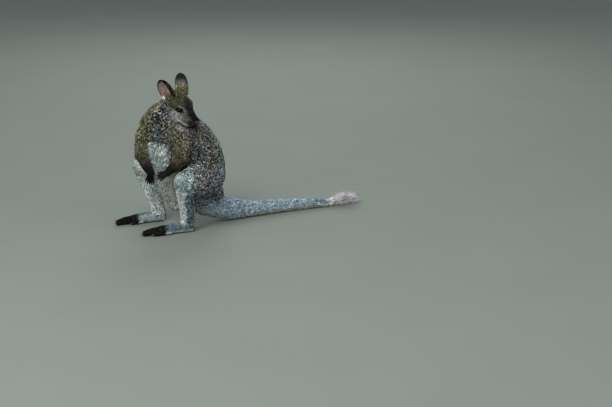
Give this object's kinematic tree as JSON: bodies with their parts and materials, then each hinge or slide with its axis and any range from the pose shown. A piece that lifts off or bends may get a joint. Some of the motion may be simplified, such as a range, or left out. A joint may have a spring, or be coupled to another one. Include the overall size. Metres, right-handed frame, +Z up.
{
  "type": "wallaby",
  "caption": "Still life-size model of a red-necked wallaby standing on its hind feet and tail, hands hanging in front and head turned to its left.",
  "frame": {"origin": "middle of the footprint of the whole animal, on the floor", "axes": "+Z up; the feet and the tail lie along Y, with the toes towards -Y and the tail towards +Y; the animal's left side is towards +X"},
  "size_m": [0.3032, 0.9936, 0.5962],
  "materials": {
    "body_fur": "grizzled grey-brown fur, dull",
    "neck_fur": "olive brown fur, dull",
    "face_fur": "short dark brown fur, dull",
    "ear_fur": "short dark fur, dull",
    "leg_fur": "pale grey fur, dull",
    "hand_fur": "black fur, dull",
    "tail_fur": "silver grey fur, dull",
    "nose_leather": "black bare skin, moist",
    "eye": "dark brown, wet and glossy",
    "horn": "dark horn, satin"
  },
  "bodies": {
    "root": {"trunk": "body_fur", "thigh_left": "body_fur", "thigh_right": "body_fur", "neck": "neck_fur", "upper_arm_left": "neck_fur", "upper_arm_right": "neck_fur", "forearm_left": "neck_fur", "forearm_right": "neck_fur", "head": "face_fur", "ear_left": "ear_fur", "ear_right": "ear_fur", "shin_left": "leg_fur", "shin_right": "leg_fur", "foot_left": "leg_fur", "foot_right": "leg_fur", "hand_left": "hand_fur", "hand_right": "hand_fur", "tail_root": "tail_fur", "tail_middle": "tail_fur", "tail_tip": "tail_fur", "nose": "nose_leather", "eye_left": "eye", "eye_right": "eye", "claw_fourth_toe_left": "horn", "claw_fifth_toe_left": "horn", "claw_second_toe_left": "horn", "claw_third_toe_left": "horn", "claw_finger_1_left": "horn", "claw_finger_2_left": "horn", "claw_finger_3_left": "horn", "claw_finger_4_left": "horn", "claw_finger_5_left": "horn", "claw_fourth_toe_right": "horn", "claw_fifth_toe_right": "horn", "claw_second_toe_right": "horn", "claw_third_toe_right": "horn", "claw_finger_1_right": "horn", "claw_finger_2_right": "horn", "claw_finger_3_right": "horn", "claw_finger_4_right": "horn", "claw_finger_5_right": "horn"}
  },
  "joints": []
}
